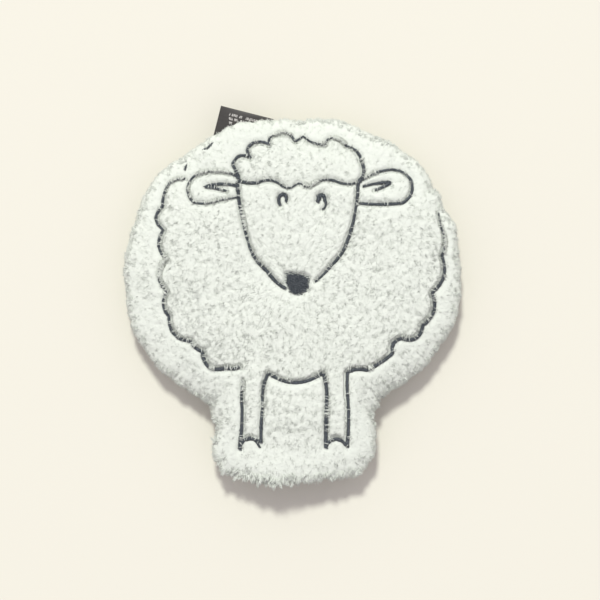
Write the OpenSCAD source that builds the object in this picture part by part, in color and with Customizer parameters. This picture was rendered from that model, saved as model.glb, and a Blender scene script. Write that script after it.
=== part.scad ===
// Sheep-shaped wash mitt: two pile panels, wadding and lining round a hand pocket,
// embroidered face and fleece, ribbon label in the edge seam.
// Lies on its back: +Z out of the face, +Y towards the head, hand opening at -Y.

/* [Outline] */
// width over the pile, mm
body_width = 236; // [190:2:290]
// centre of the body to the top edge, mm
head_height = 110.5; // [88:0.5:135]
// how far the round body reaches below its centre, mm
belly_depth = 103.5; // [84:0.5:125]
// width of the block that carries the legs, mm
legs_width = 111; // [92:1:134]
// centre of the body to the bottom edge, mm
hem_depth = 141; // [117:1:170]
// squareness of the bottom corners
corner_power = 9; // [6:1:14]

/* [Layers] */
// pile fabric, ground and pile together, mm
pile_thickness = 7.5; // [5:0.5:10]
// how far the pile stands out beyond the edge seam, mm
pile_reach = 8.5; // [7.5:0.5:10.5]
// wadding behind each panel, mm
wadding_thickness = 3; // [2:0.5:5]
// lining fabric, mm
lining_thickness = 1; // [0.6:0.1:1.6]
// height of the hand pocket in the middle, mm
pocket_height = 12; // [9:1:20]
// gap kept between neighbouring layers, mm
layer_gap = 0.08; // [0.05:0.01:0.12]
// part of the radius over which the front stays level
front_level = 0.35; // [0.2:0.05:0.6]
// part of the radius over which the back lies flat
back_level = 0.62; // [0.45:0.01:0.72]

/* [Hand opening] */
// from each side of the legs block to the corner of the opening, mm
mouth_margin = 11.5; // [11:0.5:18]
// how far the opening gapes in the middle, mm
mouth_gape = 16; // [12:1:20]
// thickness of the tape round the opening, mm
binding_thickness = 0.9; // [0.6:0.1:1.4]
// depth of the tape into the opening, mm
binding_depth = 12; // [8:1:12]

/* [Thread] */
// side seam thread, mm across
seam_thread = 1.1; // [0.6:0.1:1.2]
// width of the bold embroidery lines, mm
bold_line = 2.5; // [1.8:0.1:3.2]
// width of the fine embroidery lines, mm
fine_line = 1.7; // [1.2:0.1:2.2]
// how far the thread stands above the pile, mm
thread_proud = 0.4; // [0.2:0.1:1]
// how deep the thread is drawn into the pile, mm
thread_sunk = 1.4; // [0.8:0.1:2.5]

/* [Label] */
// ribbon width, mm
label_width = 38; // [24:1:44]
// how far the middle of the ribbon reaches out of the seam, mm
label_reach = 17; // [13:1:26]
// thickness of the folded ribbon, mm
label_thickness = 1; // [0.6:0.1:1.4]
// place round the edge, degrees from +X
label_angle = 110; // [100:1:125]
// slant of the ribbon across the seam, degrees
label_lean = 32; // [0:1:34]
// swing either way that the pile leaves free, degrees
label_swing = 28; // [10:1:32]

/* [Detail] */
// step round the edge, degrees
edge_step = 5; // [4:1:8]
// rings over the rounded rim
rim_rings = 5; // [4:1:7]
// pieces per embroidered curve
curve_steps = 5; // [4:1:8]

/* [Hidden] */

mouth_width = legs_width - 2 * mouth_margin;

// heights of the layer faces above or below the seam plane
lining_in = pocket_height / 2;
lining_out = lining_in + lining_thickness;
wadding_in = lining_out + layer_gap;
wadding_out = wadding_in + wadding_thickness;
panel_in = wadding_out + layer_gap;
panel_out = panel_in + pile_thickness;
seam_z = panel_out;

// where the layers end at the edge, inwards from the pile tips
edge_panel = pile_reach;
edge_thread = edge_panel + 0.35 + seam_thread / 2;
edge_wadding = edge_thread + seam_thread / 2 + 0.15;
edge_lining = edge_wadding + 1;
edge_pocket = edge_lining + 1;
label_edge = edge_panel - 0.35 - label_thickness / 2;

// the round body and the legs block, blended at the neck
function body_r(a) = let (h = sin(a) < 0 ? belly_depth : head_height)
    1 / sqrt(pow(2 * cos(a) / body_width, 2) + pow(sin(a) / h, 2));
function legs_r(a) = sin(a) < 0
    ? pow(pow(abs(cos(a)) * 2 / legs_width, corner_power)
          + pow(-sin(a) / hem_depth, corner_power), -1 / corner_power)
    : 0;
function edge_r(a) = let (b = body_r(a), l = legs_r(a), m = max(b, l))
    m * pow(pow(b / m, 16) + pow(l / m, 16), 1 / 16);
function edge(a) = edge_r(a) * [cos(a), sin(a)];
function along(a) = let (t = edge(a + 0.4) - edge(a - 0.4)) t / norm(t);
function outward(a) = let (t = along(a)) [t.y, -t.x];
function inset(a, e) = edge(a) - e * outward(a);

// the crown of every layer: level to u = f, then rounding down to the edge at u = 1
rim_power = 2.4;
function crown(u, f) = u <= f ? 1 : sqrt(max(0, 1 - pow((u - f) / (1 - f), rim_power)));
function ring_u(k, f) = k == 0 ? f : f + (1 - f) * pow(sin(90 * k / rim_rings), 2 / rim_power);

// the two halves part at the hand opening and at the label
function mouth_rise(a) = let (x = edge(a).x / (mouth_width / 2))
    sin(a) < 0 && abs(x) < 1 && abs(a + 90) < 60 ? mouth_gape / 2 * (1 - x * x) : 0;
label_near = label_angle + 15;
label_far = label_angle - 17;
function label_part(a) = let (d = max(a - label_near, label_far - a, 0)) max(0, 1 - d / 6);
slot_root = label_thickness / 2 + 0.7;
slot_mouth = slot_root + label_edge * tan(label_swing) + 0.5;
function rise_edge(a) = mouth_rise(a) + label_part(a) * slot_mouth;
function rise_in(a) = mouth_rise(a) + label_part(a) * slot_root;

// angles round the edge, closer together along the bottom
angles = concat([for (a = [-120:2.5:-60]) a], [for (a = [-60 + edge_step:edge_step:239.9]) a]);
mouth_angles = [for (a = angles) if (a < -60 && abs(edge(a).x) < mouth_width / 2 - 5) a];

// one face of a layer: centre point, then rings out to the edge
function face(e, h, f, s, cut) = concat(
    [[0, 0, seam_z + s * h]],
    [for (k = [0:rim_rings]) for (a = angles)
        let (u = ring_u(k, f), g = cut == 0 ? rise_edge(a) : cut == 1 ? rise_in(a) : mouth_rise(a),
             p = inset(a, e) * u)
        [p.x, p.y, seam_z + s * (g + (h - g) * crown(u, f))]]);

// a layer: outer face, inner face and the strip that joins them at the edge
module layer(e_out, h_out, cut_out, e_in, h_in, cut_in, f, s) {
    n = len(angles);
    m = 1 + n * (rim_rings + 1);
    pts = concat(face(e_out, h_out, f, s, cut_out), face(e_in, h_in, f, s, cut_in));
    outer = concat(
        [for (i = [0:n - 1]) [0, 1 + (i + 1) % n, 1 + i]],
        [for (k = [0:rim_rings - 1]) for (i = [0:n - 1]) for (t = [0, 1])
            let (a = 1 + k * n + i, b = 1 + k * n + (i + 1) % n)
            t == 0 ? [a, b, b + n] : [a, b + n, a + n]]);
    inner = [for (q = outer) [q[0] + m, q[2] + m, q[1] + m]];
    strip = [for (i = [0:n - 1]) for (t = [0, 1])
        let (a = m - n + i, b = m - n + (i + 1) % n)
        t == 0 ? [a, b, b + m] : [a, b + m, a + m]];
    all = concat(outer, inner, strip);
    polyhedron(pts, s > 0 ? all : [for (q = all) [q[0], q[2], q[1]]], convexity = 8);
}

// sweep a closed section along a list of stations, each station a list of points
module sweep(stations, ring) {
    n = len(stations);
    m = len(stations[0]);
    pts = [for (s = stations) for (p = s) p];
    walls = [for (i = [0:n - (ring ? 1 : 2)]) for (j = [0:m - 1]) for (t = [0, 1])
        let (a = i * m + j, b = i * m + (j + 1) % m, c = ((i + 1) % n) * m)
        t == 0 ? [a, c + j, c + (j + 1) % m] : [a, c + (j + 1) % m, b]];
    caps = ring ? [] : [for (j = [1:m - 2]) for (t = [0, 1])
        t == 0 ? [0, j, j + 1] : [(n - 1) * m, (n - 1) * m + j + 1, (n - 1) * m + j]];
    polyhedron(pts, concat(walls, caps), convexity = 6);
}

// height of the front pile face over a point in plan
function front_z(p) = let (a = atan2(p.y, p.x), w = a < -120 ? a + 360 : a, u = norm(p) / edge_r(a),
    g = rise_edge(w)) seam_z + g + (panel_out - g) * crown(u, front_level);

// a stroke is a chain of [x, y, bulge]: each arc runs to the next point, bulging left if positive;
// plan sizes follow the body
kx = body_width / 236;
function ky(y) = y < -60 ? -60 * belly_depth / 103.5 + (y + 60) * (hem_depth - 60 * belly_depth / 103.5) / 81
    : y * (y < 0 ? belly_depth / 103.5 : head_height / 110.5);
function kleg(x, y) = y < -75 ? x * legs_width / 111 : y > -60 ? x * kx
    : x * (kx + (legs_width / 111 - kx) * (-60 - y) / 15);
function place(p) = [kleg(p.x, p.y), ky(p.y)];
function arc(a, b, n) = let (p = place(a), q = place(b), c = q - p, l = norm(c), s = [-c.y, c.x] / l)
    [for (i = [0:n - 1]) let (t = i / n) p + c * t + s * a[2] * 4 * t * (1 - t)];
function steps(a, b) = let (l = norm([b.x - a.x, b.y - a.y]))
    max(abs(a[2]) > 1.2 ? curve_steps : 2, round(curve_steps * l / 26));
function chain(k) = concat(
    [for (i = [0:len(k) - 2]) each arc(k[i], k[i + 1], steps(k[i], k[i + 1]))],
    [place(k[len(k) - 1])]);

// a raised line of thread along a chain, drawn to a point at both ends
module stroke(k, w) {
    c = chain(k);
    n = len(c);
    sweep([for (i = [0:n - 1])
        let (t = c[min(n - 1, i + 1)] - c[max(0, i - 1)], d = [-t.y, t.x] / norm(t),
             h = (i == 0 || i == n - 1 ? 0.6 : 1) * w / 2, z = front_z(c[i]))
        [[c[i].x - d.x * h, c[i].y - d.y * h, z - thread_sunk],
         [c[i].x + d.x * h, c[i].y + d.y * h, z - thread_sunk],
         [c[i].x + d.x * h * 0.6, c[i].y + d.y * h * 0.6, z + thread_proud],
         [c[i].x - d.x * h * 0.6, c[i].y - d.y * h * 0.6, z + thread_proud]]], false);
}

// a filled patch of satin stitch
module patch(k) {
    c = chain(k);
    z = front_z(c[0]);
    translate([0, 0, z - thread_sunk]) linear_extrude(thread_sunk + thread_proud) polygon(c);
}

pile = [0.93, 0.93, 0.9];
wad = [0.9, 0.9, 0.86];
lin = [0.86, 0.86, 0.82];
slate = [0.24, 0.27, 0.3];

module front_panel() color(pile) layer(0, panel_out, 0, edge_panel, panel_in, 1, front_level, 1);

module back_panel() color(pile) layer(0, panel_out, 0, edge_panel, panel_in, 1, back_level, -1);

module front_wadding() color(wad)
    layer(edge_wadding, wadding_out, 2, edge_lining - layer_gap, wadding_in, 2, front_level, 1);

module back_wadding() color(wad)
    layer(edge_wadding, wadding_out, 2, edge_lining - layer_gap, wadding_in, 2, back_level, -1);

module front_lining() color(lin)
    layer(edge_lining, lining_out, 2, edge_pocket, lining_in, 2, front_level, 1);

module back_lining() color(lin)
    layer(edge_lining, lining_out, 2, edge_pocket, lining_in, 2, back_level, -1);

// the thread runs round the edge from one corner of the opening to the other
module side_seam() color(wad) {
    start = atan2(-hem_depth, mouth_width / 2 + 2);
    run = [for (a = angles) if (a > start && a < 180 - start) a];
    sweep([for (a = run) let (c = inset(a, edge_thread), o = outward(a) * seam_thread / 2)
        [for (v = [0:5]) [c.x + o.x * cos(60 * v), c.y + o.y * cos(60 * v),
                          seam_z + seam_thread / 2 * sin(60 * v)]]], false);
}

// one station of the tape: outer and inner face, at the edge and inside
function tape(a, s) = let (g = mouth_rise(a) - 2 * layer_gap)
    [for (v = [[0, 0], [1, 0], [1, 1], [0, 1]])
        let (p = inset(a, v.x * binding_depth)) [p.x, p.y, seam_z + s * (g - v.y * binding_thickness)]];

function tape_corner(s) = let (a = atan2(-hem_depth, s * mouth_width / 2))
    [for (v = [[0, 0], [1, 0], [1, 1], [0, 1]])
        let (p = inset(a, v.x * binding_depth))
        [p.x - s * (v.y == 0 ? 1 : 5), p.y, seam_z]];

module mouth_binding() color(lin) {
    m = mouth_angles;
    n = len(m);
    sweep(concat([tape_corner(-1)], [for (i = [0:n - 1]) tape(m[i], -1)],
                 [tape_corner(1)], [for (i = [0:n - 1]) tape(m[n - 1 - i], 1)]), true);
}

// a row of stitches on the inside of the tape, front and back
module mouth_stitching() color(slate * 1.6) {
    for (s = [-1, 1]) {
        sweep([for (i = [0:len(mouth_angles) - 1])
            let (a = mouth_angles[s > 0 ? len(mouth_angles) - 1 - i : i],
                 g = mouth_rise(a) - 2 * layer_gap - binding_thickness)
            [for (v = [[8.2, -0.3], [9.2, -0.3], [9.2, 0.3], [8.2, 0.3]])
                let (p = inset(a, v.x)) [p.x, p.y, seam_z + s * (g - v.y)]]], false);
    }
}

module forelock() color(slate)
    stroke([[-37.5, 66, 0], [-41, 75, 4.5], [-29, 81, 4], [-27.5, 91, 3.5], [-12, 92, 4],
            [2, 93, 3], [22, 91, 4], [36, 90, 3.5], [48, 79, 3], [45, 64, 0]], bold_line);

module brow_line() color(slate)
    stroke([[-38, 65, 0], [-24, 64, 2], [-8, 62, -2], [2, 62, 1.5], [13, 62, 2],
            [30, 65, -1.2], [43.5, 64, 0]], fine_line);

module face_left() color(slate)
    stroke([[-38, 62, -1], [-31, 24.5, -4], [-4, -10, 0]], bold_line);

module face_right() color(slate)
    stroke([[45.5, 61, 1], [38, 24, 3], [16, -5.5, 0]], bold_line);

module eye_left() color(slate)
    stroke([[-10, 49.5, 2], [-6.3, 56.5, 2], [-4.2, 51.5, 0]], fine_line);

module eye_right() color(slate)
    patch([[17, 50, 1.5], [17.5, 56, 2], [23.5, 55, 1.5], [23, 48, 0], [20, 45.5, -1],
           [21.5, 51, -1.5]]);

module nose() color(slate)
    patch([[-4.5, 0.5, 0.5], [7.5, 0, 0.8], [11.5, -2, 0], [10.5, -10.5, 0.5], [1, -13.5, 0.5],
           [-2.5, -10.5, 0], [-4.5, -5.5, 0]]);

module ear_left() color(slate)
    stroke([[-40.5, 67.5, -1.5], [-53, 71, -1], [-67.5, 69, -5], [-68.5, 50.5, -1.5], [-53, 51, 0.5],
            [-38.5, 53.5, 0]], fine_line);

module ear_right() color(slate)
    stroke([[50, 66.5, 1], [65, 73, 3], [82, 66.5, 4], [76.5, 50, 1], [46, 49.5, 0]], fine_line);

module ear_fold_left() color(slate)
    stroke([[-39.5, 61.5, -1], [-60.5, 61, 0.5], [-46, 58, 0]], fine_line);

module ear_fold_right() color(slate)
    stroke([[48.5, 61.5, 1], [68.5, 64, 0.5], [58, 58.5, 0]], fine_line);

module fleece_left() color(slate)
    stroke([[-84, 63, -2], [-90, 48, -5], [-89.5, 31, -4], [-88, 11, -5], [-87, -12, -3.5],
            [-86, -29, -5.5], [-70.5, -46, -1.5], [-62.5, -53, -6.5], [-37, -64, 0]], bold_line);

module fleece_right() color(slate)
    stroke([[38, -67.5, -7], [69.5, -54.5, 3], [76, -44, -5], [90.5, -35, -5], [97, -12.5, -5.5],
            [104, 13.5, -2], [103.5, 31.5, -2], [101.5, 45, 0]], bold_line);

// the run over the head, mostly buried in the pile of the edge
module fleece_top() color(slate)
    stroke([[-75, 73, 3], [-59, 88, 3], [-36, 98, 3], [-8, 103, 3], [22, 102, 3], [50, 94, 3],
            [74, 80, 3], [92, 60, 0]], fine_line);

module belly_line() color(slate)
    stroke([[-15.5, -69, -6.5], [19.5, -69, 0]], bold_line);

module leg_left() color(slate) {
    stroke([[-34.5, -68, 0.8], [-36.5, -113, 0]], fine_line);
    stroke([[-18.5, -71, -1], [-22, -113, 0]], fine_line);
}

module leg_right() color(slate) {
    stroke([[22.5, -71, 1], [23, -115, 0]], fine_line);
    stroke([[38, -71.5, 0.6], [38.5, -115, 0]], fine_line);
}

module hoof_left() color(slate)
    stroke([[-36.5, -120, 5], [-23, -120, 0]], bold_line);

module hoof_right() color(slate)
    stroke([[24, -119.5, 4.5], [36.5, -119, 0]], bold_line);

// the folded ribbon, its root rounded about the seam so that it can swing
module care_label() color([0.26, 0.24, 0.23]) {
    n = outward(label_angle);
    c = inset(label_angle, label_edge);
    slope = tan(label_lean);
    w = label_width / 2;
    h = w / cos(label_lean);
    r = label_thickness / 2;
    translate([c.x, c.y, seam_z]) rotate([0, 0, atan2(n.y, n.x) - 90]) union() {
        rotate([0, 90, 0]) cylinder(h = 2 * h, r = r, center = true, $fn = 24);
        translate([0, 0, -r]) linear_extrude(label_thickness)
            polygon([[-h, 0], [h, 0], label_tip(w), label_tip(-w)]);
    }
}

// outer corner of the ribbon at a distance s from its middle, in the seam's own axes
function label_tip(s) = [s * cos(label_lean) + label_reach * sin(label_lean),
                         label_reach * cos(label_lean) - s * sin(label_lean)];

front_panel();
back_panel();
front_wadding();
back_wadding();
front_lining();
back_lining();
side_seam();
mouth_binding();
mouth_stitching();
forelock();
brow_line();
face_left();
face_right();
eye_left();
eye_right();
nose();
ear_left();
ear_right();
ear_fold_left();
ear_fold_right();
fleece_left();
fleece_right();
fleece_top();
belly_line();
leg_left();
leg_right();
hoof_left();
hoof_right();
care_label();
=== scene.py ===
"""Sheep-shaped wash mitt: two panels of long off-white pile, wadding and lining round a hand pocket,
slate embroidery drawn down into the pile, and a folded ribbon label in the edge seam.

Sizes in this file are millimetres in the row frame; `solid` turns them into metres. A place on the mitt
is (a, u): a is the direction from the middle in degrees, u the share of the way out to the edge."""

import bpy
import numpy as np
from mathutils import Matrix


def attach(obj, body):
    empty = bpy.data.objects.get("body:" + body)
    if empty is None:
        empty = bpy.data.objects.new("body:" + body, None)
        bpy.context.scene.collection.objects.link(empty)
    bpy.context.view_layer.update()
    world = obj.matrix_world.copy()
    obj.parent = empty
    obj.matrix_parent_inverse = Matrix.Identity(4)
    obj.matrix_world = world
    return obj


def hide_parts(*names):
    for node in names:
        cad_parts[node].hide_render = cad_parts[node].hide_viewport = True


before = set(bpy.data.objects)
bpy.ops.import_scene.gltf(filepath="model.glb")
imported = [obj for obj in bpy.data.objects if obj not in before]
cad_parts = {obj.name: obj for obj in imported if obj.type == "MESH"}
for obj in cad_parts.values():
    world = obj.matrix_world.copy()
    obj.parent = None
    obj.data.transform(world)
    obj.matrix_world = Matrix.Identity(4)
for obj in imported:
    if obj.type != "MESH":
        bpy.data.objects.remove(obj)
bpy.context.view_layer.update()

# ---------------------------------------------------------------- sizes of the mitt
# the outline: half the body's width, its reach up and down, half the width of the legs block and its reach
HALF_WIDTH, HEAD, BELLY, HALF_LEGS, HEM = 118.0, 110.5, 103.5, 55.5, 141.0
SEAM = 17.66  # height of the edge seam over the surface the mitt lies on
# reach of the pile at the rim, and height over the seam of the cloth it stands on
PILE, GROUND_RISE = 8.5, 10.16
MOUTH, GAPE = 44.0, 8.0  # half the width and half the height of the hand opening
# the label: its place round the edge, its slant, how far it stands out and half its width
LABEL_AT, LABEL_LEAN, LABEL_REACH, LABEL_HALF = 110.0, 32.0, 17.0, 19.0
# the stretch of the edge that the label keeps open, and over how many degrees it closes again
LABEL_FROM, LABEL_TO, LABEL_FADE = 93, 125, 6
# a side is the share of the way out where its crown begins to fall, and its direction
FRONT, BACK = (0.35, 1.0), (0.62, -1.0)


# ---------------------------------------------------------------- outline and crown
def unit(v):
    return v / np.maximum(np.linalg.norm(v, axis=-1, keepdims=True), 1e-6)


def travelled(steps):
    """The way gone at each point of a line, from the lengths of its steps."""
    return np.concatenate([[0], np.cumsum(steps)])


def edge_radius(a):
    """Distance from the middle to the edge: an ellipse, deeper above than below, blended by a 16th-power
    mean with a superellipse of power 9 for the block that carries the legs."""
    c, s = np.cos(np.radians(a)), np.sin(np.radians(a))
    body = 1 / np.sqrt((c / HALF_WIDTH) ** 2 + (s / np.where(s < 0, BELLY, HEAD)) ** 2)
    legs = ((np.abs(c) / HALF_LEGS) ** 9 + (np.maximum(-s, 1e-3) / HEM) ** 9) ** (-1 / 9)
    legs = np.where(s < 0, legs, 0)
    top = np.maximum(body, legs)
    return top * ((body / top) ** 16 + (legs / top) ** 16) ** (1 / 16)


def edge_point(a, inset=0.0):
    """The edge curve, moved inwards along its own normal by inset."""
    def on(b):
        return edge_radius(b)[..., None] * np.stack([np.cos(np.radians(b)), np.sin(np.radians(b))], -1)

    t = unit(on(a + 0.4) - on(a - 0.4))
    return on(a) - np.asarray(inset)[..., None] * np.stack([t[..., 1], -t[..., 0]], -1)


def crown(u, level):
    """Height share of a layer: 1 out to level, then the root of 1 less a power of 2.4, down to 0."""
    v = np.clip((u - level) / (1 - level), 0, 1)
    return np.sqrt(np.maximum(0, 1 - v ** 2.4))


def mouth_rise(a):
    """Half the gape of the hand opening: a parabola across the bottom edge."""
    x = edge_radius(a) * np.cos(np.radians(a)) / MOUTH
    return np.where((np.sin(np.radians(a)) < -0.5) & (np.abs(x) < 1), GAPE * (1 - x * x), 0)


def label_part(a):
    """Where the pile is pushed apart by the label: 1 along it, fading over 6 degrees either side."""
    a = (a + 120) % 360 - 120
    return np.clip(1 - np.maximum(np.maximum(a - LABEL_TO, LABEL_FROM - a), 0) / LABEL_FADE, 0, 1)


def layer(a, u, inset, rise, side, slot=None):
    """A point of a layer: the inset edge scaled by u in plan, and the crown over the local rise. Slot is
    how far the label opens the layer's rim; by default it grows from the ground out to the pile tips."""
    level, s = side
    slot = 1.2 + (PILE - np.clip(inset, 0, PILE)) / PILE * 4.5 if slot is None else slot
    g = mouth_rise(a) + label_part(a) * slot
    p = edge_point(a, inset) * u[..., None]
    return np.concatenate([p, (SEAM + s * (g + (rise - g) * crown(u, level)))[..., None]], -1)


def place_of(p, inset):
    """(a, u) of plan points on a layer of that inset, by looking up the inset edge in polar form."""
    a = np.linspace(-200, 200, 1601)
    q = edge_point(a, inset)
    turn = np.unwrap(np.arctan2(q[:, 1], q[:, 0]))
    turn -= 2 * np.pi * np.round(turn[800] / (2 * np.pi))
    b = np.arctan2(p[..., 1], p[..., 0])
    r = np.interp(b, turn, np.hypot(q[:, 0], q[:, 1]))
    return np.interp(b, turn, a), np.hypot(p[..., 0], p[..., 1]) / r


# ---------------------------------------------------------------- embroidery, as drawn
# each run is a chain of [x, y, bulge to the next point, line width]
RUNS = {
    "forelock": [[-37.4, 66.5, -0.6, 3.0], [-41.6, 76.3, 4.1, 2.0], [-29, 81.2, 3.3, 1.9],
        [-27, 91.7, 1.3, 2.2], [-15.7, 90.3, 2.2, 1.8], [-12.2, 97.3, 3.7, 0.9], [1.8, 92.8, -0.3, 1.7],
        [7.4, 96.6, -1.9, 0.9], [22.8, 90.6, 1.1, 1.8], [27, 95.2, 1.7, 0.8], [37.4, 89.6, 2.5, 1.3],
        [47.9, 79.1, 3.0, 2.1], [45.2, 63.7, 0, 3.2]],
    "brow_line": [[-38.2, 65.1, -0.4, 2.6], [-24.2, 63.7, 2.6, 2.0], [-8, 62.3, -2, 1.4],
        [1.8, 62, 1.6, 0.9], [8, 61.6, -1, 1.0], [13.6, 62.3, 2, 1.1], [29.7, 65.1, -1.3, 1.6],
        [43.8, 63.7, 0, 1.3]],
    "face_left": [[-38.2, 63.4, -1.1, 2.6], [-31.2, 24.5, -2.3, 1.8], [-17.5, 2.5, -1.2, 2.5],
        [-4.3, -9.8, 0, 2.4]],
    "face_right": [[45.4, 63.3, 0.5, 2.6], [43.8, 46.0, 0.8, 1.8], [38.2, 23.8, 1.4, 2.7],
        [27.5, 7.2, 0.5, 2.1], [15.7, -5.0, 0, 1.4]],
    "ear_left": [[-36.8, 67.2, -1.3, 1.6], [-52.8, 71.8, -1, 1.2], [-67.6, 69.3, -4.9, 1.2],
        [-68.9, 50.4, -1.2, 1.3], [-52.8, 51.1, 0.3, 1.2], [-38.2, 53.6, 0, 1.0]],
    "ear_right": [[48.6, 65.8, 1, 1.3], [64.8, 72.8, 2.9, 1.5], [82.2, 66.5, 3.6, 2.0], [76.6, 50, 0.9, 1.9],
        [45.8, 49.7, 0, 1.8]],
    "ear_fold_left": [[-38.6, 61.6, -1.6, 1.9], [-60.6, 61.2, 0.4, 2.2], [-45.8, 58.1, 0, 1.2]],
    "ear_fold_right": [[48.6, 61.2, 0.8, 1.4], [68.4, 64.2, 0.4, 2.4], [57.2, 58.8, 0, 1.7]],
    "fleece_left": [[-74.6, 66.9, -1.2, 1.3], [-85.8, 63.7, -1.4, 1.6], [-90.3, 47.6, -5.0, 2.2],
        [-89.6, 31.2, -4.3, 1.8], [-87.8, 10.8, -5.4, 1.9], [-87.1, -11.9, -3.5, 1.9],
        [-85.8, -28.7, -5.5, 2.0], [-70.4, -46.2, -1.3, 2.3], [-62.6, -53.2, -6.2, 2.6],
        [-46, -64.6, -1.0, 2.6], [-36.2, -63.9, 0, 2.0]],
    "fleece_right": [[38.2, -67.4, 1.2, 2.6], [52, -66.3, -0.6, 2.4], [69.6, -54.6, 3, 2.4],
        [75.9, -44.1, -5.2, 2.6], [90.6, -35, -4.8, 2.5], [96.9, -12.6, -5.0, 2.2], [104, 13.3, -2.1, 2.0],
        [104, 31.5, 0.2, 1.6], [101.8, 43.4, 0, 1.0]],
    "fleece_top": [[-75, 73, 3, 1.4], [-59, 88, 3, 1.4], [-36, 98, 3, 1.2], [-8, 102.5, 3, 1.2],
        [22, 101.5, 3, 1.2], [50, 94, 3, 1.2], [74, 80, 3, 1.2], [92, 60, 0, 1.2]],
    "belly_line": [[-16.8, -68.2, -6.6, 2.3], [20.8, -68.2, 0, 2.6]],
    "leg_left": [[-34.6, -73.5, -0.5, 1.6], [-35.0, -93, 0.5, 2.2], [-36.8, -121.6, 0, 2.9], None,
        [-16.9, -68.6, -1.6, 2.4], [-20.6, -90, -0.3, 1.8], [-21.9, -116.6, 0, 2.6]],
    "leg_right": [[21.4, -68.4, 0.9, 2.5], [23.8, -87, -0.2, 2.6], [23.2, -120.4, 0, 2.9], None,
        [38.2, -67.6, -0.5, 2.4], [38.8, -90, 0.5, 2.1], [38.0, -119.8, 0, 2.5]],
    "hoof_left": [[-36.6, -120.4, 7.2, 1.6], [-22.6, -119.9, 0, 1.6], None, [-35.6, -115.6, 1.6, 2.2],
        [-22.2, -115.8, 0, 2.0]],
    "hoof_right": [[22.8, -119.6, 1.2, 2.0], [30.1, -114.0, 1.2, 2.8], [37.3, -119.0, 0, 1.9]],
    "eye_left": [[-8.3, 47.9, 0.5, 1.8], [-9.4, 52.4, 1.0, 2.6], [-6.4, 55.8, 1.0, 3.0],
        [-4.3, 52.4, 0.2, 2.2], [-4.7, 50.2, 0, 1.4]],
    "eye_right": [[17.7, 49.8, 0.4, 2.4], [18.4, 53.0, 0.8, 3.6], [20.4, 55.2, 0.8, 3.4],
        [22.4, 51.6, 0.5, 2.4], [22.9, 47.8, 0.6, 1.5], [20.4, 45.4, 0, 1.1]],
}
NOSE = np.array([[-4.4, 0.9], [7.6, 0.1], [11.3, -2.2], [10.3, -10.6], [6.4, -13.0], [1.4, -13.6],
                 [-2.4, -10.6], [-4.7, -5.4]])
# share of a run that the pile falls over, and the share on the runs that are not named
COVERED = {"forelock": 0.1, "ear_left": 0.2, "face_left": 0.1, "leg_right": 0.1,
           "leg_left": 0.1, "fleece_left": 0.1}
COVERED_ELSEWHERE = 0.05
# places where the pile falls heavily: x, y, reach and strands per half millimetre
HEAVY = np.array([[-89.5, 5, 7.5, 4.5], [-86, -13, 7, 1.1], [-34.6, 39, 8, 2.0], [-8, 97.3, 5.5, 3.2],
                  [31.5, 92.6, 5, 3.2], [15.8, 63.2, 1.8, 4], [-50, 50, 8, 1.4], [55, -66.4, 1.8, 4],
                  [11.5, -7, 2.5, 2.2], [0, -14, 3, 0.8], [-68.5, -48, 1.8, 3], [-37, -76, 4, 2],
                  [102.5, 24, 8, 1.6], [-80, 66, 7, 1.4], [22, -95, 3, 1.2], [-62, 71.5, 7, 1.5],
                  [-50, 72, 5, 2.2], [10, 61.5, 6, 1.6], [55, 69, 5, 1.2]])
# the few places where the run over the head shows: x, y and reach
GLIMPSES = np.array([[-73.9, 73.5, 3.0], [-58, 89.4, 4.0]])


def line(chain, step=0.5):
    """Points and widths along a chain of arcs: each arc is its chord plus a parabola of the bulge."""
    out = []
    for p, q in zip(chain[:-1], chain[1:]):
        p, q = np.array(p, float), np.array(q, float)
        c = q[:2] - p[:2]
        n = max(4, int(np.hypot(*c) / step))
        t = np.linspace(0, 1, n, endpoint=False)[:, None]
        side = np.array([-c[1], c[0]]) / np.hypot(*c)
        out.append(np.hstack([p[:2] + c * t + side * p[2] * 4 * t * (1 - t), p[3] + (q[3] - p[3]) * t]))
    out.append(np.array([[chain[-1][0], chain[-1][1], chain[-1][3]]]))
    return np.vstack(out)


def parts_of(chain):
    """The separate lines of a run, which None keeps apart."""
    cut = [i for i, p in enumerate(chain) if p is None]
    return [chain[i:j] for i, j in zip([0] + [c + 1 for c in cut], cut + [len(chain)])]


def outline_points(pts, step=1.0):
    """A closed polygon cut into short steps."""
    q = np.vstack([pts, pts[:1]])
    return np.vstack([a + (b - a) * np.linspace(0, 1, max(2, int(np.hypot(*(b - a)) / step)))[:-1, None]
                      for a, b in zip(q[:-1], q[1:])])


LINES = {k: [line(c) for c in parts_of(v)] for k, v in RUNS.items()}


# ---------------------------------------------------------------- plan maps of the front
CELL, MAP_LEFT, MAP_RIGHT, MAP_LOW, MAP_HIGH = 1.0, -130, 130, -155, 125
GX, GY = np.meshgrid(np.arange(MAP_LEFT, MAP_RIGHT + CELL, CELL), np.arange(MAP_LOW, MAP_HIGH + CELL, CELL))


def nearest(points, x, y):
    """Distance from every (x, y) to the edge of the nearest line; points are x, y and line width."""
    out = np.full(x.shape, 1e9)
    for i in range(0, len(points), 200):
        p = points[i:i + 200]
        d = np.hypot(x[..., None] - p[:, 0], y[..., None] - p[:, 1]) - p[:, 2] / 2
        out = np.minimum(out, d.min(-1))
    return np.maximum(out, 0)


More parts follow.
